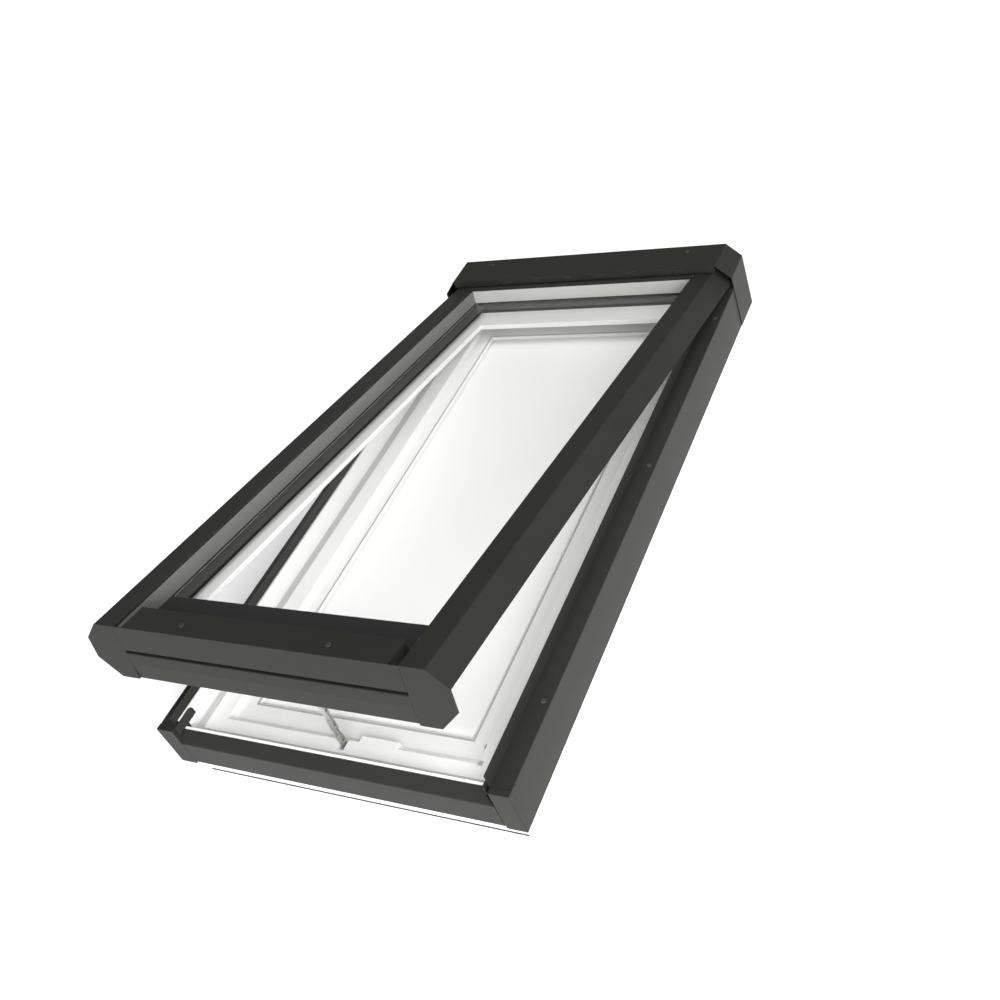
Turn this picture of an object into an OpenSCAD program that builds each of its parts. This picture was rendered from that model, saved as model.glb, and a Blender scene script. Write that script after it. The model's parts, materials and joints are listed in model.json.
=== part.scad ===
// Top-hung venting roof skylight: a white timber frame and sash under dark sheet metal,
// double glazed, with an insect screen and a push-chain operator let into the sill.
// +X is to the right, +Y up the roof slope, +Z out of the roof. Z = 0 is the underside of the frame.

/* [Overall] */
// Width over the side cladding
frame_w = 620; // [500:1:1000]
// Length from the front cladding to the back of the head cowl
frame_l = 1184; // [800:1:1600]
// Angle at which the sash stands open, which is as far as the chain lets it go
open_angle = 10.33; // [4:0.01:10.4]

/* [Frame timber] */
// Height of the bare timber below the cladding
base_h = 18; // [8:1:30]
// Width of a side rail, from the outside of its cladding to its inner face
rail_w = 84; // [76:1:110]
// Height of the rebate floor that the sash closes onto
rebate_z = 68; // [60:1:80]
// Width of the raised outer part of a side rail, cladding included
raised_w = 38; // [34:1:44]
// Depth of the sill rail from the front cladding to its inner face
sill_d = 69.3; // [66:0.1:80]
// Depth from the front cladding to the step down to the screen
sill_step_d = 58.5; // [56:0.5:60]
// Depth from the front cladding to the back of the sill's raised lip
sill_lip_d = 21.5; // [20:0.5:26]
// Depth of the head rail, from the back of the cowl to its inner face
head_d = 110; // [80:1:130]

/* [Cladding] */
// Sheet thickness of all cladding and covers
sheet_t = 1.2; // [0.8:0.1:2]
// Height of the flat strip on top of the side cladding
strip_z = 100.4; // [90:0.1:100.6]
// Width of the flat strip
strip_w = 33; // [28:1:36]
// Height of the upstand at the inner edge of the strip
upstand_z = 122; // [110:1:124]
// Height at which the front cladding turns into its slope
front_bend_z = 69.5; // [50:0.5:75]
// Depth of that slope
slope_d = 16.5; // [12:0.5:17]
// Height of that slope
slope_h = 17.5; // [12:0.5:20]

/* [Head cowl] */
// Depth of the cowl along the slope
cowl_d = 75.4; // [68:0.1:90]
// Height of the cowl's top
cowl_z = 152.4; // [146:0.1:170]
// Width of the cowl's chamfer
cowl_cut_w = 26.5; // [16:0.5:36]
// Height of the cowl's chamfer
cowl_cut_h = 27.7; // [16:0.5:36]
// Height of the turned-down lip at the cowl's front edge
cowl_lip = 13.2; // [6:0.1:14]

/* [Hinge] */
// Distance of the hinge axis from the back of the frame
hinge_back = 36.2; // [30:0.1:44]
// Height of the hinge axis
hinge_z = 77.8; // [77:0.1:84]
// Radius of the hinge pins
pin_r = 4; // [3:0.1:5]
// Length of a hinge along its pin
hinge_w = 60; // [40:1:90]

/* [Sash] */
// How far the sash front hangs out in front of the frame
overhang = 15.5; // [12:0.5:24]
// Height of the covers' flat top above the hinge axis, with the sash closed
cover_n = 51.8; // [50:0.1:60]
// Width of the covers' flat top
cover_w = 37.4; // [30:0.1:50]
// Width of the covers' outer chamfer
cover_cut_w = 28; // [20:0.5:34]
// Height of the covers' outer chamfer
cover_cut_h = 27.6; // [20:0.1:28]
// Gap between the covers' outer edge and the outside of the frame
cover_inset = 4.9; // [3:0.1:8]
// Width of the sash side rails at their underside
sash_rail_w = 72; // [66:1:90]
// Width of the sash head rail
sash_head_w = 100; // [80:1:120]
// Underside of the sash timber, measured from the hinge axis
sash_under = -8; // [-8:0.5:-6]
// Top of the outer pane, measured from the hinge axis
pane_n = 18.5; // [18:0.5:24]
// Thickness of each pane
pane_t = 3; // [2.5:0.5:4]
// Space between the two panes
pane_gap = 10; // [6:1:11]
// Width of the dark border on the glass inside the covers
border_w = 26; // [15:1:30]
// Height of the covers' inner lip above the grey glazing strips
cover_lip = 6; // [4:0.5:10]
// Depth of the front covers' top plate
plate_d = 46.3; // [40:0.1:60]
// Height of the front skirt below the hinge axis
skirt_n = 44.2; // [36:0.1:46]

/* [Insect screen] */
// Width of the screen frame's bars
screen_w = 32; // [20:1:40]
// Thickness of the screen frame's bars
screen_t = 14; // [8:1:20]
// Distance of the bars' top below the rebate floor
screen_drop = 11; // [8:1:16]
// Thickness of the fabric
fabric_t = 0.6; // [0.4:0.1:1]

/* [Chain operator] */
// Pitch of the chain
chain_p = 16.5; // [12:0.5:20]
// Width of the chain's plates
chain_w = 9; // [7:0.5:10]
// Distance from the front of the frame to the chain's outlet
outlet_d = 52; // [50:0.5:53]
// Place of the chain across the frame
chain_x = 2; // [-20:1:40]
// Teeth on the drive gear
gear_teeth = 32; // [30:1:34]
// Teeth on the crank pinion
pinion_teeth = 10; // [9:1:12]

/* [Fasteners] */
// Radius of the screw heads
head_r = 4; // [3:0.1:5]
// Radius of the screw shanks
shank_r = 1.8; // [1.4:0.1:2.4]

/* [Hidden] */

metal = "#494a45";
metal_dark = "#33332f";
white_wood = "#f1f1ee";
rubber = "#1f1f1d";
grey_strip = "#8b8c86";
steel = "#b9bab4";
$fn = 48;

// Clearances
seat = 0.3;          // between pieces that lie side by side
sash_gap = 2;        // between the sash timber and the frame round it
run_gap = 0.06;      // radial clearance of a turning pin or shaft
hole_gap = 0.1;      // radial clearance of a screw in its hole
slack = 0.5;         // between neighbouring knuckles, ears and links
film = 0.05;         // between layers of the glazing
pin_gap = 0.25;      // radial clearance of a chain pin in its plates

// Frame timber
half_w = frame_w / 2;
front_y = -frame_l / 2;
back_y = frame_l / 2;
timber_x = half_w - sheet_t - seat;
timber_front = front_y + 6;
timber_back = back_y - sheet_t - seat;
timber_top = strip_z - sheet_t - seat;
inner_x = half_w - rail_w;
raised_x = half_w - raised_w;
lip_w = 3.2;
lip_top = timber_top + 7;
sill_in = front_y + sill_d;
sill_step = front_y + sill_step_d;
sill_lip = front_y + sill_lip_d;
sill_lip_z = front_bend_z + slope_h + 1;
head_in = back_y - head_d;
head_block_d = 25;
head_block = timber_back - head_block_d;

// Cladding and cowl
strip_x = half_w - strip_w;
cap_x = strip_x + 0.4;
cap_gap = 0.3;
cladding_front = front_y + 11;
front_low_z = base_h + 4;
cowl_x = half_w + sheet_t + 0.2;
cowl_front = back_y - cowl_d;
cowl_foot = base_h + 0.6;
bracket_t = 2;
bracket_w = 30;
bracket_d = 19;

// Seals
seal_t = 1.5;
seal_w = 13;
pad_t = sash_gap - 2 * seat;
pad_back = front_y + 48;
pad_l = 43;
pad_foot = 6;
nose_r = 9;
gasket_t = 1.6;
gasket_h = 1.6;
gasket_ends = [48, 6];

// Sash, in its own frame: origin on the hinge axis, -Y towards the front, closed flat
hinge_y = back_y - hinge_back;
s_front = hinge_y - front_y + overhang;
sash_x = raised_x - sash_gap;
sash_in = sash_x - sash_rail_w;
cover_x = half_w - cover_inset;
cover_bend = cover_x - cover_cut_w;
cover_in = cover_bend - cover_w;
cover_low = cover_n - cover_cut_h;
wood_n = cover_n - sheet_t - seat;
s_top = 27;
s_cover_top = 22;
s_head_in = s_top + sash_head_w;
head_wall_d = 30;
s_plate = s_front - plate_d;
s_bottom_out = s_plate + 1;
sash_bottom_w = 42;
s_bottom_in = s_bottom_out - sash_bottom_w;
glass_lap = 10;
s_pane_end = s_bottom_in + glass_lap;
s_head_wall = s_top + head_wall_d;
s_pane_top = s_head_wall - 3;

// Glass
pane_x = cover_in - 1;
outer_low = pane_n - pane_t;
inner_top = outer_low - pane_gap;
inner_low = inner_top - pane_t;
tape_t = 1.4;
tape_w = 12;
rebate_n = inner_low - tape_t;
border_t = 0.4;
edge_in = 1;
spacer_w = 8;
border_in = cover_in - border_w;
border_front = 38;
border_head = 14;
strip_t = 1.2;
strip_foot = 3.5;
strip_top = cover_n - cover_lip - seat;
shoulder_x = cover_in + strip_t + seat * 3;
head_back_n = 33;
bottom_gasket_t = 2;
bottom_gasket_w = 62.5;

// Front covers
slot_top = 9.2;
slot_low = 3.7;
skirt_bend = -16.2;
skirt_in = 2.5;
cap_low = -11.7;
cap_cut = 32.4;
cap_flange = 10;
carrier_t = 1.5;
leg_s = s_front - 12;
leg_face = leg_s + carrier_t + seat;
carrier_n = 30;
plate_x = cover_in - 16.5;
front_x = cover_in - 2 * seat;

// Hinges
hinge_x = half_w - 85;
barrel_r = pin_r + 3;
leaf_t = 2;
knuckle = (hinge_w - 2 * slack) / 3.6;
pin_head = 1.5;
sash_leaf_t = 2.7;

// Screen
screen_z = rebate_z - screen_drop;
screen_x = inner_x - seat;
screen_front = sill_in + seat;
screen_back = head_in - seat;
fabric_z = screen_z - 6;
latch_w = 7;
latch_d = 5;
latch_h = 5;
latch_in = 19;
stop_w = 7;
stop_d = 7;
stop_in = 56;

// Chain operator
chain_y = front_y + outlet_d;
link_t = 1;
inner_link = 1.3;
outer_link = 2.8;
chain_pin_r = 1.6;
end_link_l = chain_w + slack;
chain_s = s_bottom_in + 26;
chain_hook_y = hinge_y - chain_s * cos(open_angle);
chain_hook_z = hinge_z + chain_s * sin(open_angle);
hook_rise = chain_hook_z - rebate_z - end_link_l;
foot_depth = 14;
run_links = ceil((hook_rise + foot_depth) / chain_p);
run_l = run_links * chain_p;
hook_dy = chain_hook_y - chain_y;
foot_z = chain_hook_z - sqrt(pow(run_l + end_link_l, 2) - pow(hook_dy, 2));
chain_lean = asin(hook_dy / (run_l + end_link_l));
sprocket_r = chain_p;
gear_z = foot_z - chain_p;
gear_x = chain_x + sprocket_r;
gear_m = 1;
gear_t = 4;
gear_y = chain_y + outer_link + link_t + 0.8;
gear_r = gear_teeth * gear_m / 2;
pinion_r = pinion_teeth * gear_m / 2;
crank_x = gear_x + gear_r + pinion_r;
shaft_r = 3;
eye_r = 5.8;
eye_hole_r = 2.6;
eye_h = 3.2;
eye_reach = 16;
box_t = 2;
box_gap = 1.2;
box_x0 = chain_x - chain_w / 2 - box_gap - box_t;
box_x1 = crank_x + pinion_r + 8;
slot_y0 = hinge_y - chain_s - 5;
slot_w = chain_w + 3;
box_y0 = slot_y0 - box_t;
box_y1 = gear_y + gear_t + box_gap + box_t;
box_z0 = gear_z - sprocket_r - chain_w / 2 - box_gap - box_t + 2;
box_z1 = rebate_z - 1.5;
plate_pad = 8;
cover_x0 = box_x0 - plate_pad;
cover_x1 = box_x1 + 40;
bridge_x = gear_x + 8;
chimney_x = chain_x + slot_w / 2 + box_t;
plate_t = 0.6;
step_top = screen_z - 1.5;

// Chain bracket in its pocket under the sash bottom rail
pocket_w = 26;
pocket_l = 24;
pocket_n = 10;
hook_pin_r = 2.5;
ear_t = 2;
ear_r = 5;
ear_x = chain_w / 2 + slack;

// Screw places
strip_screws = [0.1275, 0.526, 0.86];
strip_screw_x = half_w - 11;
front_screw_x = 124.4;
cowl_screw_x = 214;
cowl_screw_y = back_y - 19;
front_screw_s = s_front - 19;
long_screw = 14;
short_screw = 5;
head_h = 1.2;

// ---- helpers ----

function unit(v) = v / norm(v);
function left_of(v) = [-v[1], v[0]];
function side(p, i) = left_of(unit(p[i + 1] - p[i]));
// The point that lies t to the left of corner i of an open line
function mitre(p, i, t) =
    let(a = side(p, max(i - 1, 0)), b = side(p, min(i, len(p) - 2)), m = unit(a + b))
    p[i] + m * t / (m * a);
function folded(p, t) = concat(p, [for (i = [len(p) - 1 : -1 : 0]) mitre(p, i, t)]);
function on_circle(r, a) = [r * cos(a), r * sin(a)];

// An (x, z) outline run from y0 to y1
module bar_y(p, y0, y1) {
    translate([0, y1, 0]) rotate([90, 0, 0]) linear_extrude(y1 - y0) polygon(p);
}

// A (y, z) outline run from x0 to x1
module bar_x(p, x0, x1) {
    translate([x0, 0, 0]) rotate([90, 0, 90]) linear_extrude(x1 - x0) polygon(p);
}

// A box between two opposite corners
module block(a, b) {
    translate(a) cube(b - a);
}

// A flat ring between two rectangles, from z0 to z1
module ring(outer, inner, z0, z1) {
    difference() {
        block([outer[0], outer[1], z0], [outer[2], outer[3], z1]);
        block([inner[0], inner[1], z0 - 1], [inner[2], inner[3], z1 + 1]);
    }
}

module rod_x(r, x0, x1) {
    translate([x0, 0, 0]) rotate([0, 90, 0]) cylinder(r = r, h = x1 - x0);
}

module rod_y(r, y0, y1) {
    translate([0, y1, 0]) rotate([90, 0, 0]) cylinder(r = r, h = y1 - y0);
}

module flipped() {
    mirror([1, 0, 0]) children();
}

module both_sides() {
    children();
    flipped() children();
}

// Lifts a closed sash piece into the open rest pose
module on_sash() {
    translate([0, hinge_y, hinge_z]) rotate([-open_angle, 0, 0]) children();
}

module screw(l) {
    cylinder(r = head_r, h = head_h);
    translate([0, 0, -l]) cylinder(r = shank_r, h = l + head_h / 2);
}

module screw_hole(l) {
    translate([0, 0, -l - 1]) cylinder(r = shank_r + hole_gap, h = l + 6);
}

module strip_screw_places() {
    for (f = strip_screws) translate([strip_screw_x, front_y + f * frame_l, strip_z]) children();
}

module cowl_screw_places() {
    both_sides() translate([cowl_screw_x, cowl_screw_y, cowl_z]) children();
}

module front_screw_places() {
    both_sides() translate([front_screw_x, -front_screw_s, cover_n]) children();
}

// ---- frame timber ----

module frame_right_rail() {
    color(white_wood) difference() {
        bar_y([
            [timber_x, 0], [timber_x, timber_top], [raised_x + lip_w, timber_top],
            [raised_x + lip_w, lip_top], [raised_x, lip_top], [raised_x, rebate_z],
            [inner_x, rebate_z], [inner_x, 0]
        ], timber_front, timber_back);
        block(
            [inner_x, front_y, rebate_z],
            [cap_x + sheet_t + seat, front_y + slope_d + sheet_t + seat, lip_top + 1]
        );
        strip_screw_places() screw_hole(long_screw);
    }
}

module frame_left_rail() {
    flipped() frame_right_rail();
}

function under_slope(d) =
    let(k = slope_h / slope_d) front_bend_z + d * k - sheet_t * sqrt(1 + k * k) - seat;

module frame_sill() {
    lip_face = slope_d + sheet_t + seat;
    color(white_wood) difference() {
        union() {
            bar_x([
                [timber_front, 0], [timber_front, rebate_z], [sill_step, rebate_z],
                [sill_step, screen_z], [sill_in, screen_z], [sill_in, 0]
            ], -inner_x, inner_x);
            bar_x([
                [front_y + sheet_t + seat, rebate_z],
                [front_y + sheet_t + seat, under_slope(sheet_t + seat)],
                [front_y + lip_face, under_slope(slope_d)],
                [front_y + lip_face, sill_lip_z], [sill_lip, sill_lip_z], [sill_lip, rebate_z]
            ], -raised_x + seat, raised_x - seat);
        }
        block(
            [box_x0 - seat, box_y0 - seat, box_z0 - seat],
            [box_x1 + seat, box_y1 + seat, rebate_z + 1]
        );
        translate([crank_x, 0, gear_z]) rod_y(shaft_r + slack, box_y1, sill_in + 1);
    }
}

module frame_head() {
    color(white_wood) {
        block([-inner_x, head_in, 0], [inner_x, timber_back, rebate_z]);
        block([-raised_x + seat, head_block, rebate_z], [raised_x - seat, timber_back, timber_top]);
    }
}

// ---- frame cladding ----

module right_cladding() {
    color(metal) difference() {
        bar_y(folded([
            [half_w, base_h], [half_w, strip_z], [strip_x, strip_z], [strip_x, upstand_z]
        ], sheet_t), cladding_front, timber_back);
        strip_screw_places() screw_hole(long_screw);
    }
}

module left_cladding() {
    flipped() right_cladding();
}

module front_cladding() {
    color(metal) bar_x(folded([
        [front_y + 5, front_low_z], [front_y, front_low_z], [front_y, front_bend_z],
        [front_y + slope_d, front_bend_z + slope_h]
    ], -sheet_t), -strip_x, strip_x);
}

module right_corner_cap() {
    back = cladding_front - cap_gap;
    color(metal) {
        block([cap_x, front_y, base_h], [half_w, front_y + sheet_t, strip_z]);
        block([cap_x, front_y, strip_z - sheet_t], [half_w, back, strip_z]);
        block([half_w - sheet_t, front_y, base_h], [half_w, back, strip_z]);
        block(
            [cap_x, front_y, rebate_z + seat],
            [cap_x + sheet_t, front_y + slope_d + sheet_t, timber_top]
        );
    }
}

module left_corner_cap() {
    flipped() right_corner_cap();
}

module head_cowl() {
    top_x = cowl_x - cowl_cut_w;
    low_z = cowl_z - cowl_cut_h;
    hood = [
        [-cowl_x, cowl_foot], [-cowl_x, low_z], [-top_x, cowl_z],
        [top_x, cowl_z], [cowl_x, low_z], [cowl_x, cowl_foot]
    ];
    color(metal) difference() {
        union() {
            bar_y(folded(hood, -sheet_t), cowl_front, back_y);
            bar_y(hood, back_y - sheet_t, back_y);
            block(
                [-top_x + 2, cowl_front, cowl_z - cowl_lip],
                [top_x - 2, cowl_front + sheet_t, cowl_z - sheet_t / 2]
            );
        }
        cowl_screw_places() screw_hole(short_screw);
    }
}

module cowl_brackets() {
    near = head_block + 1;
    color(steel) difference() {
        both_sides() bar_x(folded([
            [near, timber_top], [near + bracket_d, timber_top],
            [near + bracket_d, cowl_z - sheet_t], [near, cowl_z - sheet_t]
        ], bracket_t), cowl_screw_x - bracket_w / 2, cowl_screw_x + bracket_w / 2);
        cowl_screw_places() screw_hole(short_screw);
    }
}

// ---- seals ----

// Outline of a seal strip with a lip along each edge and one in the middle
function ribbed(w) =
    let(lip = 1.6, web = 0.6, mid = w / 2)
    [
        [0, 0], [0, seal_t], [lip, seal_t], [lip + 0.6, web], [mid - lip, web],
        [mid - lip / 2, seal_t], [mid + lip / 2, seal_t], [mid + lip, web],
        [w - lip - 0.6, web], [w - lip, seal_t], [w, seal_t], [w, 0]
    ];

module right_frame_seal() {
    color(grey_strip) translate([raised_x - seat - seal_w, 0, rebate_z])
        bar_y(ribbed(seal_w), sill_lip + seat, head_block - seat);
}

module left_frame_seal() {
    flipped() right_frame_seal();
}

module front_frame_seal() {
    end_x = raised_x - seal_w - 2 * seat;
    color(grey_strip) translate([0, sill_lip + seat, rebate_z])
        bar_x(ribbed(seal_w), -end_x, end_x);
}

// A soft plate on the inner face of the raised rail, with a foot behind the sill's lip
module corner_pad() {
    pad_x = raised_x - seat;
    low_z = sill_lip_z + seat;
    foot_y = sill_lip + seat;
    translate([pad_x, 0, 0]) rotate([90, 0, -90]) linear_extrude(pad_t) {
        translate([-(pad_back - nose_r), low_z]) square([pad_l - nose_r, lip_top - low_z]);
        translate([-pad_back, low_z]) square([nose_r, lip_top - low_z - nose_r]);
        translate([-(pad_back - nose_r), lip_top - nose_r]) circle(nose_r);
    }
    block(
        [pad_x - pad_t, foot_y, rebate_z + seal_t + seat],
        [pad_x, foot_y + pad_foot, low_z]
    );
}

module corner_gaskets() {
    color(rubber) both_sides() corner_pad();
}

module sill_gasket() {
    color(rubber) block(
        [-half_w + gasket_ends[0], timber_front - gasket_t, 0],
        [half_w - gasket_ends[1], timber_front, gasket_h]
    );
}

// ---- insect screen ----

module screen_right_bar() {
    color(white_wood) block(
        [screen_x - screen_w, screen_front, screen_z - screen_t],
        [screen_x, screen_back, screen_z]
    );
}

module screen_left_bar() {
    flipped() screen_right_bar();
}

module screen_cross_bar(y0) {
    end_x = screen_x - screen_w;
    color(white_wood) block(
        [-end_x, y0, screen_z - screen_t],
        [end_x, y0 + screen_w, screen_z]
    );
}

module screen_bottom_bar() {
    screen_cross_bar(screen_front);
}

module screen_top_bar() {
    screen_cross_bar(screen_back - screen_w);
}

module insect_screen() {
    edge = screen_w + seat;
    color("#e9e8e4") block(
        [-screen_x + edge, screen_front + edge, fabric_z],
        [screen_x - edge, screen_back - edge, fabric_z + fabric_t]
    );
}

// A small latch on the screen's right bar and a stop on the rail beside the sill
module screen_clips() {
    y = screen_front + latch_in;
    color(grey_strip) {
        block([inner_x - latch_w, y, screen_z], [inner_x - seat, y + latch_d, screen_z + seal_t]);
        block(
            [inner_x - latch_w, y, screen_z + seal_t],
            [inner_x - latch_w + seal_t, y + latch_d, screen_z + latch_h]
        );
        block(
            [inner_x, front_y + stop_in, rebate_z],
            [inner_x + stop_w, front_y + stop_in + stop_d, rebate_z + seal_t]
        );
    }
}

// ---- hinges ----

module at_hinge() {
    translate([0, hinge_y, hinge_z]) children();
}

module right_frame_hinge() {
    near = hinge_x - hinge_w / 2;
    far = hinge_x + hinge_w / 2;
    color(steel) difference() {
        union() {
            block([near, head_block - leaf_t, rebate_z], [far, head_block, hinge_z + 18]);
            for (x = [near, far - knuckle]) {
                at_hinge() rod_x(barrel_r, x, x + knuckle);
                block([x, hinge_y, hinge_z - 5], [x + knuckle, head_block - leaf_t / 2, hinge_z + 5]);
            }
        }
        at_hinge() rod_x(pin_r + run_gap, near - 1, far + 1);
    }
}

module left_frame_hinge() {
    flipped() right_frame_hinge();
}

module hinge_pins() {
    far = hinge_x + hinge_w / 2;
    color(steel) both_sides() at_hinge() {
        rod_x(pin_r, hinge_x - hinge_w / 2, far + pin_head);
        rod_x(pin_r + 2, far + run_gap, far + pin_head);
    }
}

module right_sash_hinge() {
    near = hinge_x - hinge_w / 2;
    arm0 = near + knuckle + slack;
    arm1 = near + hinge_w - knuckle - slack;
    color(steel) on_sash() difference() {
        union() {
            rod_x(barrel_r, arm0, arm1);
            block([arm0, -s_top, -3], [arm1, 0, 3]);
            block([near, -s_top, sash_under + 1], [near + hinge_w, -s_top + sash_leaf_t, 28]);
        }
        rod_x(pin_r + run_gap, arm0 - 1, arm1 + 1);
    }
}

module left_sash_hinge() {
    flipped() right_sash_hinge();
}

// ---- screws ----

module cladding_screws() {
    color(metal_dark) both_sides() strip_screw_places() screw(long_screw - 1);
}

module cowl_screws() {
    color(metal_dark) cowl_screw_places() screw(short_screw);
}

module front_screws() {
    color(metal_dark) on_sash() front_screw_places() screw(short_screw);
}

// ---- chain operator ----

module link_plate() {
    difference() {
        union() {
            circle(chain_w / 2);
            translate([0, chain_p]) circle(chain_w / 2);
            translate([-chain_w / 2, 0]) square([chain_w, chain_p]);
        }
        circle(chain_pin_r + pin_gap);
        translate([0, chain_p]) circle(chain_pin_r + pin_gap);
    }
}

// One link from the origin up +Z: a pair of plates, a away from the middle on both sides
module chain_link(a) {
    for (y = [-a, a + link_t]) translate([0, y, 0]) rotate([90, 0, 0]) linear_extrude(link_t) link_plate();
}

module link_pin() {
    rod_y(chain_pin_r, -outer_link - link_t, outer_link + link_t);
}

function link_side(i) = i % 2 == 0 ? inner_link : outer_link;

module chain_run() {
    color(steel) translate([chain_x, chain_y, foot_z]) rotate([-chain_lean, 0, 0]) {
        for (i = [0 : run_links - 1]) translate([0, 0, i * chain_p]) chain_link(link_side(i));
        for (i = [0 : run_links - 1]) translate([0, 0, i * chain_p]) link_pin();
    }
}

// Pins of the chain that stays in the housing: down, then round the sprocket and along the floor
stored_pins = [
    [gear_x - sprocket_r, gear_z],
    [gear_x - sprocket_r * cos(60), gear_z - sprocket_r * sin(60)],
    [gear_x + sprocket_r * cos(60), gear_z - sprocket_r * sin(60)]
];

module stored_chain() {
    corners = concat([[chain_x, foot_z]], stored_pins);
    color(steel) translate([0, chain_y, 0]) {
        for (i = [0 : len(corners) - 2]) {
            d = corners[i + 1] - corners[i];
            translate([corners[i][0], 0, corners[i][1]])
                rotate([0, atan2(d[0], d[1]), 0]) chain_link(link_side(i + 1));
        }
        for (p = stored_pins) translate([p[0], 0, p[1]]) link_pin();
    }
}

// Spur gear outline with straight-sided teeth; a tooth points along +X when turned by 0
function gear_points(teeth, r) = [
    for (i = [0 : teeth - 1])
        for (c = [[-0.30, -1.25], [-0.14, 0.9], [0.14, 0.9], [0.30, -1.25]])
            on_circle(r + c[1] * gear_m, (i + c[0]) * 360 / teeth)
];

module gear_disc(teeth, r, turn) {
    translate([0, gear_y + gear_t, 0]) rotate([90, 0, 0]) linear_extrude(gear_t)
        rotate(turn) polygon(gear_points(teeth, r));
}

module drive_gear() {
    tooth_r = sprocket_r - chain_pin_r - slack;
    color(steel) translate([gear_x, 0, gear_z]) {
        gear_disc(gear_teeth, gear_r, 0);
        rod_y(shaft_r, box_y0, box_y1);
        rod_y(tooth_r - 5, chain_y - inner_link + seat, chain_y + inner_link - seat);
        rod_y(shaft_r + 2, chain_y - inner_link + seat, gear_y + 1);
        translate([0, chain_y + inner_link - seat, 0]) rotate([90, 0, 0])
            linear_extrude(2 * (inner_link - seat)) for (i = [0 : 5]) rotate(i * 60 + 30) polygon([
                [tooth_r - 7, -4], [tooth_r - 7, 4], [tooth_r - 1, 2], [tooth_r - 1, -2]
            ]);
    }
}

module crank_shaft() {
    eye_y = sill_in + eye_reach;
    color(steel) translate([crank_x, 0, gear_z]) difference() {
        union() {
            gear_disc(pinion_teeth, pinion_r, 180 / pinion_teeth);
            rod_y(shaft_r, box_y1 - box_t, eye_y - eye_r + 1);
            rod_y(shaft_r - 1, gear_y - 1, box_y1);
            translate([0, eye_y, -eye_h / 2]) cylinder(r = eye_r, h = eye_h);
        }
        translate([0, eye_y, -eye_h]) cylinder(r = eye_hole_r, h = 2 * eye_h);
    }
}

module operator_housing() {
    color(white_wood) difference() {
        union() {
            block([box_x0, box_y0, box_z0], [box_x1, box_y1, step_top]);
            block([box_x0, box_y0, step_top], [chimney_x, sill_step - seat, box_z1]);
        }
        block(
            [box_x0 + box_t, box_y0 + box_t, box_z0 + box_t],
            [box_x1 - box_t, box_y1 - box_t, step_top + 1]
        );
        block(
            [box_x0 + box_t, box_y0 + box_t, box_z0 + box_t],
            [chimney_x - box_t, sill_step - seat - 1, box_z1 + 1]
        );
        translate([gear_x, 0, gear_z]) rod_y(shaft_r + run_gap, box_y0 - 1, box_y1 + 1);
        translate([crank_x, 0, gear_z]) rod_y(shaft_r + run_gap, box_y1 - box_t - 1, box_y1 + 1);
    }
}

module operator_cover() {
    plate_y0 = box_y0 - 3;
    color(white_wood) difference() {
        union() {
            block([cover_x0, plate_y0, rebate_z], [cover_x1, sill_step, rebate_z + plate_t]);
            block([box_x0, box_y0, box_z1], [box_x1, sill_step, rebate_z]);
            block([chimney_x + seat, box_y0, step_top], [box_x1, sill_step, rebate_z]);
            block([chimney_x + seat, sill_step, step_top], [box_x1, box_y1, screen_z]);
            block([bridge_x, sill_step, screen_z], [cover_x1, sill_in, rebate_z + plate_t]);
        }
        block(
            [chain_x - slot_w / 2, slot_y0, box_z1 - 1],
            [chain_x + slot_w / 2, sill_step + 1, rebate_z + plate_t + 1]
        );
    }
}

// ---- sash timber ----

module sash_right_rail() {
    color(white_wood) on_sash() bar_y([
        [sash_in, sash_under], [sash_x, sash_under], [sash_x, wood_n],
        [shoulder_x, wood_n], [shoulder_x, rebate_n], [sash_in, rebate_n]
    ], -s_bottom_out, -s_top);
}

module sash_left_rail() {
    flipped() sash_right_rail();
}

module sash_head_rail() {
    color(white_wood) on_sash() {
        block([-sash_in, -s_head_in, sash_under], [sash_in, -s_top, rebate_n]);
        block([-shoulder_x, -s_pane_top + seat, rebate_n], [shoulder_x, -s_top, pane_n]);
        block(
            [-cover_in + seat, -s_head_wall + strip_t + 3 * seat, pane_n],
            [cover_in - seat, -s_top, wood_n]
        );
    }
}

module sash_bottom_rail() {
    color(white_wood) on_sash() difference() {
        union() {
            block([-sash_in, -s_bottom_out, sash_under], [sash_in, -s_bottom_in, rebate_n]);
            block([-shoulder_x, -s_bottom_out, rebate_n], [shoulder_x, -s_pane_end - 2, pane_n]);
        }
        block(
            [chain_x - pocket_w / 2, -chain_s - pocket_l / 2, sash_under - 1],
            [chain_x + pocket_w / 2, -chain_s + pocket_l / 2, pocket_n]
        );
    }
}

// ---- glazing ----

module pane(n0, n1) {
    on_sash() block([-pane_x, -s_pane_end, n0], [pane_x, -s_pane_top, n1]);
}

// A rectangle of the pane's outline, d inside its sides and top and e inside its bottom edge
function inset(d, e) = [-pane_x + d, -s_pane_end + e, pane_x - d, -s_pane_top - d];

module outer_pane() {
    color("#cfe0e0", 0.35) pane(outer_low, pane_n);
}

module inner_pane() {
    color("#cfe0e0", 0.35) pane(inner_low, inner_top);
}

module pane_spacer() {
    color(metal_dark) on_sash() ring(
        inset(edge_in, edge_in), inset(edge_in + spacer_w, edge_in + spacer_w),
        inner_top + film, outer_low - border_t - 2 * film
    );
}

module glass_border() {
    color(metal_dark) on_sash() ring(
        inset(0, 0),
        [-border_in, -s_pane_end + border_front, border_in, -s_head_wall - border_head],
        outer_low - border_t - film, outer_low - film
    );
}

module glazing_tape() {
    color(rubber) on_sash() ring(
        inset(edge_in, edge_in), inset(edge_in + tape_w, glass_lap - edge_in),
        rebate_n + film, inner_low - film
    );
}

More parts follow.
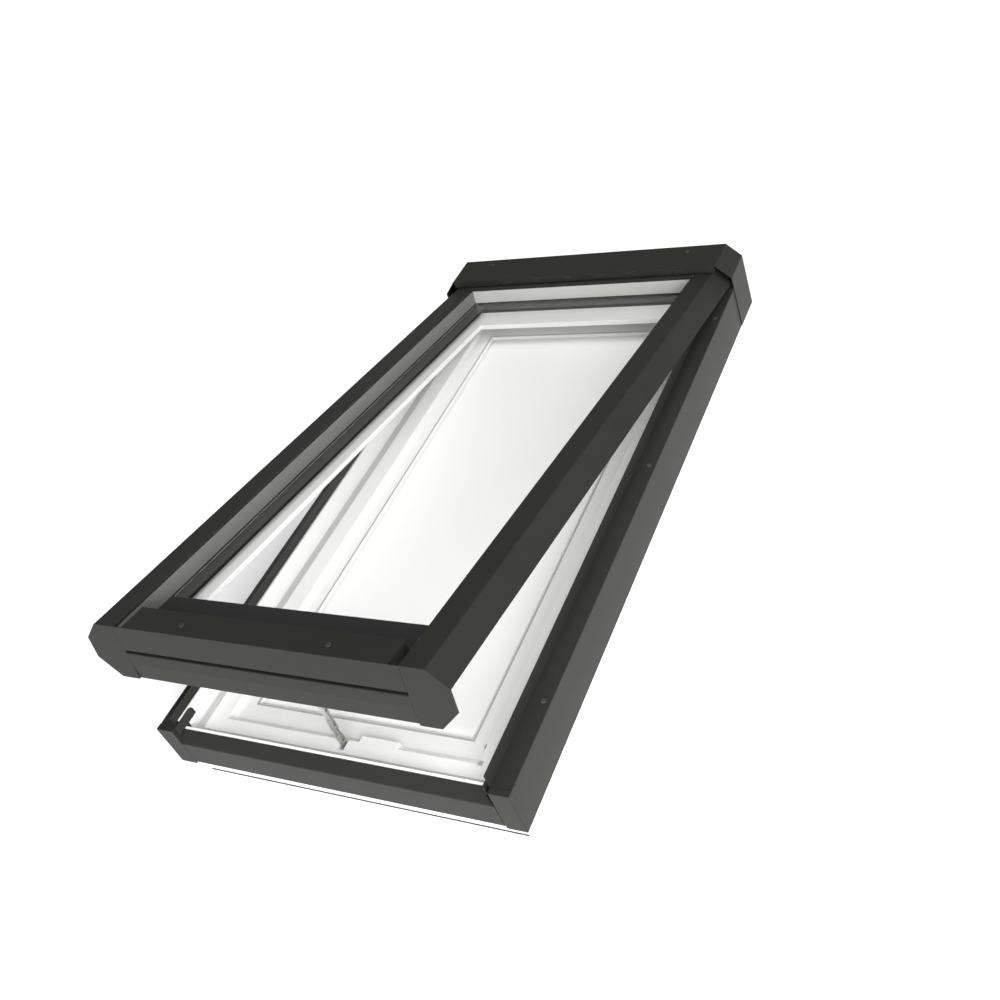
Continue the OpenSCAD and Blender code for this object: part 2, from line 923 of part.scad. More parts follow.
// Upright strip from the glass to the cover's lip, with a narrow foot on the glass
module right_glazing_strip() {
    low = pane_n + film;
    color(grey_strip) on_sash() {
        block([cover_in, -s_front + 4, low], [cover_in + strip_t, -s_head_wall - seat, strip_top]);
        block(
            [cover_in - strip_foot, -s_plate + seat, low],
            [cover_in + strip_t / 2, -s_head_wall - seat, low + strip_t]
        );
    }
}

module left_glazing_strip() {
    flipped() right_glazing_strip();
}

module head_glazing_strip() {
    low = pane_n + film;
    end_x = cover_in - seat;
    color(grey_strip) on_sash() {
        block([-end_x, -s_head_wall, low], [end_x, -s_head_wall + strip_t, strip_top]);
        block(
            [-end_x + strip_foot, -s_head_wall - strip_foot, low],
            [end_x - strip_foot, -s_head_wall, low + strip_t]
        );
    }
}

module bottom_gasket() {
    end_x = cover_in - strip_foot - seat;
    color(rubber) on_sash() block(
        [-end_x, -s_plate + seat, pane_n + film],
        [end_x, -s_plate + bottom_gasket_w, pane_n + film + bottom_gasket_t]
    );
}

// ---- sash covers ----

module sash_right_cover() {
    color(metal) on_sash() bar_y(folded([
        [cover_in, cover_n - cover_lip], [cover_in, cover_n],
        [cover_bend, cover_n], [cover_x, cover_low]
    ], -sheet_t), -s_front + sheet_t, -s_cover_top);
}

module sash_left_cover() {
    flipped() sash_right_cover();
}

module sash_head_cover() {
    color(metal) on_sash() bar_x(folded([
        [-s_head_wall, cover_n - cover_lip], [-s_head_wall, cover_n],
        [-s_cover_top, cover_n], [-s_cover_top, head_back_n]
    ], -sheet_t), -cover_in + seat, cover_in - seat);
}

module front_upper_cover() {
    color(metal) on_sash() difference() {
        union() {
            bar_x(folded([
                [-s_plate, pane_n + film], [-s_plate, cover_n],
                [-s_front, cover_n], [-s_front, cover_n - 4]
            ], sheet_t), -plate_x, plate_x);
            bar_x(folded([
                [-s_front, cover_n], [-s_front, slot_top], [-leg_face, slot_top]
            ], sheet_t), -front_x, front_x);
            both_sides() block(
                [plate_x - sheet_t, -s_front + sheet_t, carrier_n + carrier_t + seat],
                [plate_x, -s_plate, cover_n]
            );
        }
        front_screw_places() screw_hole(short_screw);
    }
}

module front_lower_cover() {
    color(metal) on_sash() bar_x(folded([
        [-leg_face, slot_low], [-s_front, slot_low], [-s_front, skirt_bend],
        [-s_front + skirt_in, -skirt_n], [-s_front + skirt_in + 6, -skirt_n]
    ], sheet_t), -front_x, front_x);
}

module front_carrier() {
    shelf_x = plate_x - sheet_t - seat;
    leg_x = front_x - seat;
    top_n = cover_n - sheet_t - film;
    back_s = s_bottom_out + sheet_t;
    color(rubber) on_sash() difference() {
        union() {
            bar_x(folded([
                [-s_front + sheet_t + seat, top_n], [-back_s, top_n],
                [-back_s, carrier_n], [-leg_s, carrier_n]
            ], -carrier_t), -shelf_x, shelf_x);
            bar_x(folded([
                [-leg_s, carrier_n + carrier_t], [-leg_s, -skirt_n + 3],
                [-s_front + skirt_in + 3, -skirt_n + 3]
            ], -carrier_t), -leg_x, leg_x);
        }
        front_screw_places() screw_hole(short_screw);
    }
}

module right_end_cap() {
    inner = cover_in - seat;
    color(metal) on_sash() {
        bar_y([
            [inner, cover_n], [cover_bend, cover_n], [cover_x, cover_low],
            [cover_x, cap_low], [cover_x - cap_cut, -skirt_n], [inner, -skirt_n]
        ], -s_front, -s_front + sheet_t);
        block(
            [inner, -s_front, -skirt_n],
            [inner + sheet_t, -s_front + cap_flange, pane_n - seat]
        );
    }
}

module left_end_cap() {
    flipped() right_end_cap();
}

// ---- chain bracket ----

module at_hook() {
    on_sash() translate([chain_x, -chain_s, 0]) children();
}

module chain_bracket() {
    color(steel) at_hook() difference() {
        union() {
            block(
                [-pocket_w / 2 + seat, -pocket_l / 2 + seat, pocket_n - ear_t],
                [pocket_w / 2 - seat, pocket_l / 2 - seat, pocket_n]
            );
            for (x = [-ear_x - ear_t, ear_x]) {
                rod_x(ear_r, x, x + ear_t);
                block([x, -ear_r, 0], [x + ear_t, ear_r, pocket_n]);
            }
        }
        rod_x(hook_pin_r + run_gap, -pocket_w, pocket_w);
    }
}

module chain_pin() {
    reach = ear_x + ear_t;
    color(steel) at_hook() {
        rod_x(hook_pin_r, -reach - 1, reach + 1);
        rod_x(hook_pin_r + 1, reach + run_gap, reach + 1.5);
    }
}

// The last piece of the chain: a block that turns on the bracket's pin
module chain_end_link() {
    color(steel) translate([chain_x, chain_hook_y, chain_hook_z]) rotate([-chain_lean, 0, 0]) difference() {
        union() {
            rod_x(chain_w / 2, -chain_w / 2, chain_w / 2);
            block(
                [-chain_w / 2, seat - inner_link, -end_link_l + chain_pin_r + slack],
                [chain_w / 2, inner_link - seat, 0]
            );
        }
        rod_x(hook_pin_r + run_gap, -chain_w, chain_w);
    }
}

frame_left_rail();
frame_right_rail();
frame_sill();
frame_head();
left_cladding();
right_cladding();
front_cladding();
left_corner_cap();
right_corner_cap();
head_cowl();
cowl_brackets();
left_frame_seal();
right_frame_seal();
front_frame_seal();
corner_gaskets();
sill_gasket();
screen_left_bar();
screen_right_bar();
screen_top_bar();
screen_bottom_bar();
insect_screen();
screen_clips();
left_frame_hinge();
right_frame_hinge();
hinge_pins();
cladding_screws();
cowl_screws();
operator_housing();
operator_cover();
stored_chain();
chain_run();
drive_gear();
crank_shaft();
sash_left_rail();
sash_right_rail();
sash_head_rail();
sash_bottom_rail();
outer_pane();
inner_pane();
pane_spacer();
glass_border();
glazing_tape();
left_glazing_strip();
right_glazing_strip();
head_glazing_strip();
bottom_gasket();
sash_left_cover();
sash_right_cover();
sash_head_cover();
front_upper_cover();
front_lower_cover();
front_carrier();
left_end_cap();
right_end_cap();
left_sash_hinge();
right_sash_hinge();
front_screws();
chain_bracket();
chain_pin();
chain_end_link();
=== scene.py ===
import json
import math

import bpy
from mathutils import Matrix, Vector


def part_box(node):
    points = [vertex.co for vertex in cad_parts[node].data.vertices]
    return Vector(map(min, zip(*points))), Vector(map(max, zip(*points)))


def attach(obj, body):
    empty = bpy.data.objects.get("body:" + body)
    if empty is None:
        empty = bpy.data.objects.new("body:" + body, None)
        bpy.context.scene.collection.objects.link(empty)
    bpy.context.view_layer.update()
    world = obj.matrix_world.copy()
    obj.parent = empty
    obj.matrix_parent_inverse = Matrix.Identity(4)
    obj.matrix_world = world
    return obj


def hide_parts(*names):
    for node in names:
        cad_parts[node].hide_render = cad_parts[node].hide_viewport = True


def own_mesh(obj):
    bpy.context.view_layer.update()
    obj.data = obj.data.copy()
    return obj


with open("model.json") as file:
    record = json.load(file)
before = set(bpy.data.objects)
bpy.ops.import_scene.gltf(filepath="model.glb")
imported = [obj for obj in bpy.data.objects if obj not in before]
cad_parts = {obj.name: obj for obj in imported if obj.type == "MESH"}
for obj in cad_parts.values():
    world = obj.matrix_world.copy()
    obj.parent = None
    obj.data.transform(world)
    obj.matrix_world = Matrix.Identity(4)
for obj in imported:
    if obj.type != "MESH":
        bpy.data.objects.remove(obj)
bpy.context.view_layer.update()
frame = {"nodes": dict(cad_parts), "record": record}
nodes = frame["nodes"]
record = frame["record"]
mm = 0.001  # all lengths are in metres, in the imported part's frame


def clearSelection():
    bpy.ops.object.select_all(action="DESELECT")


def pick(piece):
    clearSelection()
    piece.select_set(True)
    bpy.context.view_layer.objects.active = piece


def finishWith(piece, kind, **settings):
    pick(piece)
    modifier = piece.modifiers.new(kind.title(), kind)
    for key, value in settings.items():
        setattr(modifier, key, value)
    bpy.ops.object.modifier_apply(modifier=modifier.name)


def addNode(tree, kind, **settings):
    node = tree.nodes.new(kind)
    for key, value in settings.items():
        if key in node.inputs:
            node.inputs[key].default_value = value
        else:
            setattr(node, key, value)
    return node


def newMaterial(name, baseColour, roughness, **shaderValues):
    material = bpy.data.materials.new(name)
    material.use_nodes = True
    shader = material.node_tree.nodes["Principled BSDF"]
    shader.inputs["Base Color"].default_value = (*baseColour, 1)
    shader.inputs["Roughness"].default_value = roughness
    for socket, value in shaderValues.items():
        shader.inputs[socket.replace("_", " ")].default_value = value
    return material, material.node_tree, shader


mottling = dict(cloudScale=7, smoother=0.05, rougher=0.07, bumpDepth=0.2)


# a mottled finish with a fine bump; stretch draws the bump out along one axis, as in timber
def paintMaterial(name, colour, roughness, bumpSize, bumpStrength, mottle, stretch=None, **extra):
    material, tree, shader = newMaterial(name, colour, roughness, **extra)
    place = addNode(tree, "ShaderNodeTexCoord")
    cloud = addNode(
        tree, "ShaderNodeTexNoise", Scale=mottling["cloudScale"], Detail=4, Roughness=0.6
    )
    fine = addNode(tree, "ShaderNodeTexNoise", Scale=1 / bumpSize, Detail=3, Roughness=0.6)
    ramp = addNode(tree, "ShaderNodeValToRGB")
    ramp.color_ramp.elements[0].position = 0.3
    ramp.color_ramp.elements[1].position = 0.7
    ramp.color_ramp.elements[0].color = (*[c * (1 - mottle) for c in colour], 1)
    ramp.color_ramp.elements[1].color = (*[c * (1 + mottle) for c in colour], 1)
    rough = addNode(tree, "ShaderNodeMapRange")
    rough.inputs["To Min"].default_value = roughness - mottling["smoother"]
    rough.inputs["To Max"].default_value = roughness + mottling["rougher"]
    depth = bumpSize * mottling["bumpDepth"]
    bump = addNode(tree, "ShaderNodeBump", Strength=bumpStrength, Distance=depth)
    grain = addNode(tree, "ShaderNodeMapping", Scale=stretch or (1, 1, 1))
    tree.links.new(place.outputs["Object"], cloud.inputs["Vector"])
    tree.links.new(place.outputs["Object"], grain.inputs["Vector"])
    tree.links.new(grain.outputs["Vector"], fine.inputs["Vector"])
    tree.links.new(cloud.outputs["Fac"], ramp.inputs["Fac"])
    tree.links.new(ramp.outputs["Color"], shader.inputs["Base Color"])
    tree.links.new(cloud.outputs["Fac"], rough.inputs["Value"])
    tree.links.new(rough.outputs["Result"], shader.inputs["Roughness"])
    tree.links.new(fine.outputs["Fac"], bump.inputs["Height"])
    tree.links.new(bump.outputs["Normal"], shader.inputs["Normal"])
    return material


glass = dict(tint=(0.99, 0.99, 0.988), gloss=0.015, bend=1.42, waveScale=3, waveDepth=0.5 * mm)


# see-through panes that shine on their outer faces only
def glassMaterial():
    material, tree, shader = newMaterial("clearGlass", (1, 1, 1), 0.02)
    tree.nodes.remove(shader)
    output = tree.nodes["Material Output"]
    clear = addNode(tree, "ShaderNodeBsdfTransparent", Color=(*glass["tint"], 1))
    gloss = addNode(tree, "ShaderNodeBsdfGlossy", Roughness=glass["gloss"])
    place = addNode(tree, "ShaderNodeTexCoord")
    wave = addNode(tree, "ShaderNodeTexNoise", Scale=glass["waveScale"], Detail=1)
    bump = addNode(tree, "ShaderNodeBump", Strength=0.02, Distance=glass["waveDepth"])
    rim = addNode(tree, "ShaderNodeFresnel", IOR=glass["bend"])
    side = addNode(tree, "ShaderNodeNewGeometry")
    outside = addNode(tree, "ShaderNodeMath", operation="SUBTRACT")
    outside.inputs[0].default_value = 1
    shine = addNode(tree, "ShaderNodeMath", operation="MULTIPLY")
    mix = addNode(tree, "ShaderNodeMixShader")
    tree.links.new(place.outputs["Object"], wave.inputs["Vector"])
    tree.links.new(wave.outputs["Fac"], bump.inputs["Height"])
    tree.links.new(bump.outputs["Normal"], gloss.inputs["Normal"])
    tree.links.new(side.outputs["Backfacing"], outside.inputs[1])
    tree.links.new(rim.outputs["Fac"], shine.inputs[0])
    tree.links.new(outside.outputs["Value"], shine.inputs[1])
    tree.links.new(shine.outputs["Value"], mix.inputs["Fac"])
    tree.links.new(clear.outputs["BSDF"], mix.inputs[1])
    tree.links.new(gloss.outputs["BSDF"], mix.inputs[2])
    tree.links.new(mix.outputs["Shader"], output.inputs["Surface"])
    return material


weave = dict(
    base=(0.84, 0.84, 0.83),
    gaps=(0.86, 0.86, 0.85),
    threads=(0.95, 0.95, 0.94),
    scale=260,
    depth=0.2 * mm,
)


# woven threads from two crossed waves, in colour and in bump
def clothMaterial():
    material, tree, shader = newMaterial("screenCloth", weave["base"], 0.75)
    place = addNode(tree, "ShaderNodeTexCoord")
    warp = addNode(tree, "ShaderNodeTexWave", Scale=weave["scale"], bands_direction="X")
    weft = addNode(tree, "ShaderNodeTexWave", Scale=weave["scale"], bands_direction="Y")
    threads = addNode(tree, "ShaderNodeMath", operation="MAXIMUM")
    ramp = addNode(tree, "ShaderNodeValToRGB")
    ramp.color_ramp.elements[0].color = (*weave["gaps"], 1)
    ramp.color_ramp.elements[1].color = (*weave["threads"], 1)
    bump = addNode(tree, "ShaderNodeBump", Strength=0.3, Distance=weave["depth"])
    for wave in (warp, weft):
        tree.links.new(place.outputs["Object"], wave.inputs["Vector"])
    tree.links.new(warp.outputs["Fac"], threads.inputs[0])
    tree.links.new(weft.outputs["Fac"], threads.inputs[1])
    tree.links.new(threads.outputs["Value"], ramp.inputs["Fac"])
    tree.links.new(ramp.outputs["Color"], shader.inputs["Base Color"])
    tree.links.new(threads.outputs["Value"], bump.inputs["Height"])
    tree.links.new(bump.outputs["Normal"], shader.inputs["Normal"])
    return material


whiteTone = (0.86, 0.86, 0.845)
whitePaint = dict(colour=whiteTone, roughness=0.4, bumpSize=1.6 * mm, bumpStrength=0.2, mottle=0.015)
paints = dict(
    claddingPaint=dict(
        colour=(0.0195, 0.0197, 0.0165),
        roughness=0.46,
        bumpSize=0.9 * mm,
        bumpStrength=0.22,
        mottle=0.06,
        Specular_IOR_Level=0.13,
    ),
    screwPaint=dict(
        colour=(0.035, 0.035, 0.031), roughness=0.35, bumpSize=0.6 * mm, bumpStrength=0.2, mottle=0.05
    ),
    whitePaintAlong=dict(whitePaint, stretch=(1, 0.04, 1)),
    whitePaintAcross=dict(whitePaint, stretch=(0.04, 1, 1)),
    blackRubber=dict(
        colour=(0.010, 0.010, 0.0095), roughness=0.6, bumpSize=1 * mm, bumpStrength=0.3, mottle=0.1
    ),
    greySeal=dict(
        colour=(0.50, 0.50, 0.48), roughness=0.6, bumpSize=1 * mm, bumpStrength=0.3, mottle=0.05
    ),
    greyStrip=dict(
        colour=(0.13, 0.13, 0.118), roughness=0.42, bumpSize=1.5 * mm, bumpStrength=0.2, mottle=0.05
    ),
    # a paler copy of greyStrip: painted light standing in for the light on the head strip's wall
    paleStrip=dict(
        colour=(0.40, 0.40, 0.375), roughness=0.42, bumpSize=1.5 * mm, bumpStrength=0.2, mottle=0.05
    ),
    darkBorder=dict(
        colour=(0.042, 0.042, 0.037), roughness=0.4, bumpSize=1 * mm, bumpStrength=0.05, mottle=0.05
    ),
    steelFinish=dict(
        colour=(0.50, 0.49, 0.45),
        roughness=0.34,
        bumpSize=0.8 * mm,
        bumpStrength=0.2,
        mottle=0.08,
        Metallic=0.85,
    ),
    spacerMetal=dict(
        colour=(0.1, 0.1, 0.098),
        roughness=0.4,
        bumpSize=1 * mm,
        bumpStrength=0.1,
        mottle=0.05,
        Metallic=0.7,
    ),
    clipPlastic=dict(
        colour=(0.42, 0.42, 0.41), roughness=0.45, bumpSize=1 * mm, bumpStrength=0.2, mottle=0.05
    ),
    whitePlastic=dict(
        colour=whiteTone, roughness=0.36, bumpSize=1.4 * mm, bumpStrength=0.1, mottle=0.012
    ),
)
paint = {name: paintMaterial(name, **look) for name, look in paints.items()}
screenCloth = clothMaterial()
clearGlass = glassMaterial()

# the finish of each material slot of the record
finishes = {
    "white_timber": paint["whitePaintAlong"],
    "cladding": paint["claddingPaint"],
    "screw_dark": paint["screwPaint"],
    "glass": clearGlass,
    "border": paint["darkBorder"],
    "strip": paint["greyStrip"],
    "black_rubber": paint["blackRubber"],
    "seal_grey": paint["greySeal"],
    "fabric": screenCloth,
    "steel": paint["steelFinish"],
    "spacer_metal": paint["spacerMetal"],
    "white_plastic": paint["whitePlastic"],
    "clip_plastic": paint["clipPlastic"],
}
slotOf = {s["node"]: s["material_slot"] for s in record["subparts"]}
bodyOf = {n: body for body, names in record["behaviour"]["bodies"].items() for n in names}
runsAcross = {"frame_sill", "frame_head", "sash_head_rail", "sash_bottom_rail"}


# rails that run across have their grain turned, and the head's strip gets a paler copy of the strip
# paint, painted light for the light falling on its wall
def finishOf(nodeName):
    if nodeName == "head_glazing_strip":
        # painted light: the head strip takes the paler, lit copy of the strip paint
        return paint["paleStrip"]
    if nodeName in runsAcross:
        return paint["whitePaintAcross"]
    return finishes[slotOf[nodeName]]


for nodeName, node in nodes.items():
    node.data.materials.clear()
    node.data.materials.append(finishOf(nodeName))
print("materials assigned to", len(nodes), "nodes")


def pieceName(nodeName):
    first, *rest = nodeName.split("_")
    return first + "".join(word.title() for word in rest) + "Piece"


merging = dict(distance=0.005 * mm, flatWithin=0.5)


# a merged copy of a CAD node's mesh, for work on its edges
def copyOf(nodeName):
    piece = bpy.data.objects.new(pieceName(nodeName), nodes[nodeName].data.copy())
    bpy.context.collection.objects.link(piece)
    pick(piece)
    bpy.ops.mesh.customdata_custom_splitnormals_clear()
    bpy.ops.object.mode_set(mode="EDIT")
    bpy.ops.mesh.select_all(action="SELECT")
    bpy.ops.mesh.remove_doubles(threshold=merging["distance"])
    bpy.ops.mesh.dissolve_limited(angle_limit=math.radians(merging["flatWithin"]))
    bpy.ops.mesh.normals_make_consistent(inside=False)
    bpy.ops.object.mode_set(mode="OBJECT")
    return piece


def standFor(piece, *nodeNames):
    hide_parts(*nodeNames)
    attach(piece, bodyOf[nodeNames[0]])


softening = dict(sharperThan=40, smoothBelow=32, faceWeight=90)


def softenEdges(piece, width, segments=2):
    finishWith(
        piece,
        "BEVEL",
        width=width,
        segments=segments,
        limit_method="ANGLE",
        angle_limit=math.radians(softening["sharperThan"]),
    )
    pick(piece)
    bpy.ops.object.shade_smooth_by_angle(angle=math.radians(softening["smoothBelow"]))
    finishWith(piece, "WEIGHTED_NORMAL", keep_sharp=True, weight=softening["faceWeight"])


def selectEdges(piece, wanted):
    mesh = piece.data
    for parts in (mesh.vertices, mesh.edges, mesh.polygons):
        parts.foreach_set("select", [False] * len(parts))
    for index in wanted:
        mesh.edges[index].select = True


sheetMetal = dict(
    wideFace=2.5 * mm,
    outerFold=1.6 * mm,
    innerFold=0.4 * mm,
    rim=0.25 * mm,
    longFold=30 * mm,
    leastTurn=4,
    nodes="""left_cladding right_cladding front_cladding left_corner_cap right_corner_cap
        sash_left_cover sash_right_cover sash_head_cover front_upper_cover
        front_lower_cover left_end_cap right_end_cap""".split(),
)


# edges where two wide faces of a sheet meet, split into outer and inner ones
def foldEdges(piece):
    mesh = piece.data
    touching = {}
    for face in mesh.polygons:
        for key in face.edge_keys:
            touching.setdefault(key, []).append(face)
    outer, inner = [], []
    for edge in mesh.edges:
        faces = touching.get(tuple(sorted(edge.vertices)), [])
        if len(faces) != 2:
            continue
        widths = []
        for face in faces:
            corners = [mesh.vertices[i].co for i in face.vertices]
            longest = max((a - b).length for a, b in zip(corners, corners[1:] + corners[:1]))
            widths.append(face.area / longest)
        turn = faces[0].normal.angle(faces[1].normal)
        if min(widths) < sheetMetal["wideFace"] or turn < math.radians(sheetMetal["leastTurn"]):
            continue
        along = (faces[1].center - faces[0].center).dot(faces[0].normal)
        (outer if along < 0 else inner).append(edge.index)
    return outer, inner


def isLong(piece, index):
    a, b = piece.data.edges[index].vertices
    points = piece.data.vertices
    return (points[a].co - points[b].co).length > sheetMetal["longFold"]


def bevelEdges(piece, wanted, offset):
    if not wanted:
        return
    bpy.context.tool_settings.mesh_select_mode = (False, True, False)
    selectEdges(piece, wanted)
    pick(piece)
    bpy.ops.object.mode_set(mode="EDIT")
    bpy.ops.mesh.bevel(offset=offset, segments=3, affect="EDGES", clamp_overlap=True)
    bpy.ops.object.mode_set(mode="OBJECT")


# the inner folds are looked up again, because the first bevel renumbers the edges
def roundFolds(piece):
    outer, _ = foldEdges(piece)
    bevelEdges(piece, outer, sheetMetal["outerFold"])
    _, inner = foldEdges(piece)
    bevelEdges(piece, [i for i in inner if isLong(piece, i)], sheetMetal["innerFold"])


for nodeName in sheetMetal["nodes"]:
    piece = copyOf(nodeName)
    roundFolds(piece)
    softenEdges(piece, sheetMetal["rim"])
    standFor(piece, nodeName)
print("sheet metal pieces are done")

timber = dict(
    edge=1.1 * mm,
    segments=3,
    nodes="""frame_left_rail frame_right_rail frame_sill frame_head
        sash_left_rail sash_right_rail sash_head_rail sash_bottom_rail""".split(),
)
mouldings = dict(
    edge=0.5 * mm,
    segments=2,
    nodes="""screen_left_bar screen_right_bar screen_top_bar screen_bottom_bar operator_cover
        screen_clips corner_gaskets front_carrier sill_gasket""".split(),
)
metalParts = dict(
    edge=0.3 * mm,
    segments=2,
    nodes="""left_frame_hinge right_frame_hinge hinge_pins left_sash_hinge right_sash_hinge
        cowl_brackets chain_bracket chain_pin chain_end_link crank_shaft""".split(),
)
for group in (timber, mouldings, metalParts):
    for nodeName in group["nodes"]:
        piece = copyOf(nodeName)
        softenEdges(piece, group["edge"], group["segments"])
        standFor(piece, nodeName)
print("timber, mouldings and metal parts are done")

strips = dict(
    edge=0.25 * mm,
    footHeight=1.8 * mm,
    nodes="left_glazing_strip right_glazing_strip head_glazing_strip bottom_gasket".split(),
)
openAngle = -math.radians(record["behaviour"]["joints"][0]["range_deg"][0])
sashUp = Vector((0, math.sin(openAngle), math.cos(openAngle)))
glassTop = max(sashUp.dot(v.co) for v in nodes["outer_pane"].data.vertices)

# the foot of each strip, on the glass, is black rubber
for nodeName in strips["nodes"]:
    piece = copyOf(nodeName)
    softenEdges(piece, strips["edge"])
    piece.data.materials.append(paint["blackRubber"])
    for face in piece.data.polygons:
        if sashUp.dot(face.center) < glassTop + strips["footHeight"]:
            face.material_index = 1
    standFor(piece, nodeName)
print("glazing strips are done")


screws = dict(
    dome=0.5 * mm,
    crossTurn=20,
    slotLength=4.6 * mm,
    slotWidth=0.9 * mm,
    slotDepth=0.8 * mm,
    nodes="cladding_screws cowl_screws front_screws".split(),
)


# groups of joined vertices, one per solid
def islands(mesh):
    parent = list(range(len(mesh.vertices)))

    def top(i):
        while parent[i] != i:
            parent[i] = parent[parent[i]]
            i = parent[i]
        return i

    for edge in mesh.edges:
        a, b = (top(i) for i in edge.vertices)
        parent[a] = b
    groups = {}
    for i in range(len(parent)):
        groups.setdefault(top(i), []).append(i)
    return list(groups.values())


# one cutter with a cross over each screw
def crossCutter(places, axis):
    clearSelection()
    turn = axis.to_track_quat("Z", "Y").to_matrix().to_4x4()
    bars = []
    for place in places:
        for degrees in (screws["crossTurn"], screws["crossTurn"] + 90):
            bpy.ops.mesh.primitive_cube_add(size=1)
            bar = bpy.context.object
            size = (screws["slotLength"], screws["slotWidth"], 2 * screws["slotDepth"])
            bar.matrix_world = (
                Matrix.Translation(place)
                @ turn
                @ Matrix.Rotation(math.radians(degrees), 4, "Z")
                @ Matrix.Diagonal((*size, 1))
            )
            bars.append(bar)
    clearSelection()
    for bar in bars:
        bar.select_set(True)
    bpy.context.view_layer.objects.active = bars[0]
    bpy.ops.object.join()
    bpy.ops.object.transform_apply(location=True, rotation=True, scale=True)
    return bpy.context.object


for nodeName in screws["nodes"]:
    piece = copyOf(nodeName)
    axis = sashUp if bodyOf[nodeName] == "sash" else Vector((0, 0, 1))
    places = []
    for group in islands(piece.data):
        points = [piece.data.vertices[i].co.copy() for i in group]
        height = max(axis.dot(p) for p in points)
        rimPoints = [p for p in points if axis.dot(p) > height - 0.05 * mm]
        places.append(sum(rimPoints, Vector()) / len(rimPoints))
    softenEdges(piece, screws["dome"], segments=3)
    cutter = crossCutter(places, axis)
    cutting = dict(operation="DIFFERENCE", solver="EXACT", object=cutter, use_self=True)
    finishWith(piece, "BOOLEAN", **cutting)
    bpy.data.objects.remove(cutter)
    standFor(piece, nodeName)
print("screws are done")


bead = dict(fromEdge=5 * mm, width=3 * mm, height=1.2 * mm, roundShare=0.45)


# a closed flat bead round a rectangle, by an inset plane and its extruded border
def flatRing(name, low, high, z, inwards, width, height):
    bpy.ops.mesh.primitive_plane_add(size=1)
    piece = bpy.context.object
    piece.name = name
    piece.scale = (high.x - low.x + 2 * inwards, high.y - low.y + 2 * inwards, 1)
    piece.location = ((low.x + high.x) / 2, (low.y + high.y) / 2, z)
    bpy.ops.object.transform_apply(location=True, rotation=True, scale=True)
    bpy.context.tool_settings.mesh_select_mode = (False, False, True)
    bpy.ops.object.mode_set(mode="EDIT")
    bpy.ops.mesh.select_all(action="SELECT")
    bpy.ops.mesh.inset(thickness=width)
    bpy.ops.mesh.delete(type="FACE")
    bpy.ops.mesh.select_all(action="SELECT")
    bpy.ops.mesh.extrude_region_move(TRANSFORM_OT_translate={"value": (0, 0, height)})
    bpy.ops.mesh.select_all(action="SELECT")
    bpy.ops.mesh.normals_make_consistent(inside=False)
    bpy.ops.object.mode_set(mode="OBJECT")
    return piece


clothLow, clothHigh = (Vector(v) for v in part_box("insect_screen"))
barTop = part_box("screen_left_bar")[1][2]
spline = flatRing(
    "screenSpline", clothLow, clothHigh, barTop, bead["fromEdge"], bead["width"], bead["height"]
)
softenEdges(spline, bead["height"] * bead["roundShare"], segments=3)
spline.data.materials.append(paint["clipPlastic"])
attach(spline, "frame")

cloth = dict(cuts=48, thickness=0.35 * mm, sag=1.5 * mm)

# the cloth hangs a little between the bars it is stretched across
bpy.ops.mesh.primitive_plane_add(size=1)
screen = bpy.context.object
screen.name = "screenMesh"
screen.scale = (clothHigh.x - clothLow.x, clothHigh.y - clothLow.y, 1)
screen.location = (clothLow + clothHigh) / 2
bpy.ops.object.transform_apply(location=True, rotation=True, scale=True)
bpy.ops.object.mode_set(mode="EDIT")
bpy.ops.mesh.subdivide(number_cuts=cloth["cuts"])
bpy.ops.object.mode_set(mode="OBJECT")
middle = (clothLow + clothHigh) / 2
half = (clothHigh - clothLow) / 2
for point in screen.data.vertices:
    acrossShare = (point.co.x - middle.x) / half.x
    alongShare = (point.co.y - middle.y) / half.y
    point.co.z -= cloth["sag"] * (1 - acrossShare**2) * (1 - alongShare**2)
finishWith(screen, "SOLIDIFY", thickness=cloth["thickness"], offset=0)
pick(screen)
bpy.ops.object.shade_smooth()
screen.data.materials.append(screenCloth)
standFor(screen, "insect_screen")
print("insect screen is done")

chain = dict(edge=0.12 * mm, footY=-0.540, closedShare=0.074)

chainPiece = copyOf("chain_run")
softenEdges(chainPiece, chain["edge"], segments=1)
standFor(chainPiece, "chain_run")
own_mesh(chainPiece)
print("chain is done")


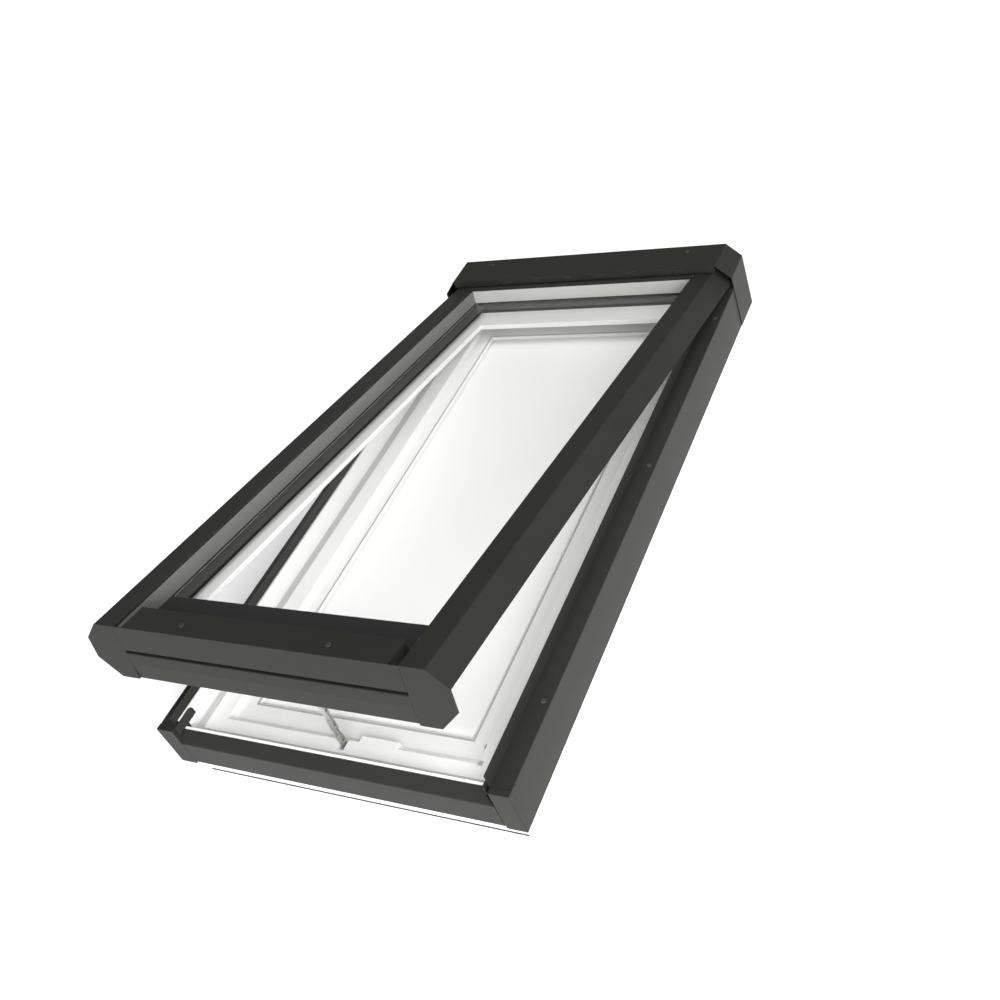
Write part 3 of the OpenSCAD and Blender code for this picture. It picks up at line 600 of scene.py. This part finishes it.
studio = dict(
    sky=(0.50, 0.51, 0.52),
    skyPower=0.42,
    sunPower=3.5,
    sunAngle=60,
    sunFrom=(0.60, -0.35, 1.0),
    fillPower=190,
    fillSize=2.4,
    fillPlace=(2.4, -2.6, 0.9),
    floorSize=400,
    floorBelow=0.2 * mm,
    floorTone=(0.94, 0.94, 0.94),
    floorGlow=0.12,
)


def addStudio():
    world = bpy.data.worlds.new("studioSky")
    bpy.context.scene.world = world
    world.use_nodes = True
    background = world.node_tree.nodes["Background"]
    background.inputs["Color"].default_value = (*studio["sky"], 1)
    background.inputs["Strength"].default_value = studio["skyPower"]
    clearSelection()
    bpy.ops.mesh.primitive_plane_add(size=studio["floorSize"], location=(0, 0, -studio["floorBelow"]))
    floor = bpy.context.object
    floor.name = "studioFloor"
    floorPaint, _, shader = newMaterial("floorPaint", studio["floorTone"], 0.9)
    shader.inputs["Emission Color"].default_value = (1, 1, 1, 1)
    shader.inputs["Emission Strength"].default_value = studio["floorGlow"]
    floor.data.materials.append(floorPaint)
    bpy.ops.object.light_add(type="SUN", location=(0, 0, 3))
    sun = bpy.context.object
    sun.name = "softSun"
    sun.data.energy = studio["sunPower"]
    sun.data.angle = math.radians(studio["sunAngle"])
    sun.rotation_euler = Vector(studio["sunFrom"]).to_track_quat("Z", "Y").to_euler()
    bpy.ops.object.light_add(type="AREA", location=studio["fillPlace"])
    fill = bpy.context.object
    fill.name = "fillPanel"
    fill.data.energy = studio["fillPower"]
    fill.data.size = studio["fillSize"]
    fill.rotation_euler = Vector(studio["fillPlace"]).to_track_quat("Z", "Y").to_euler()


view = dict(
    place=(1.00143, -1.21947, 1.26917),
    direction=(-0.49501, 0.61115, -0.61762),
    up=(-0.04147, 0.69339, 0.71937),
    lens=41.17,
)


def addCamera():
    bpy.ops.object.camera_add()
    camera = bpy.context.object
    camera.name = "productCamera"
    back = -Vector(view["direction"]).normalized()
    right = Vector(view["up"]).cross(back).normalized()
    up = back.cross(right)
    turn = Matrix((right, up, back)).transposed().to_4x4()
    camera.matrix_world = Matrix.Translation(view["place"]) @ turn
    camera.data.lens = view["lens"]
    camera.data.sensor_width = 36
    bpy.context.scene.camera = camera


addStudio()
addCamera()
bpy.context.scene.view_settings.view_transform = "Standard"
print("studio and camera are in place")
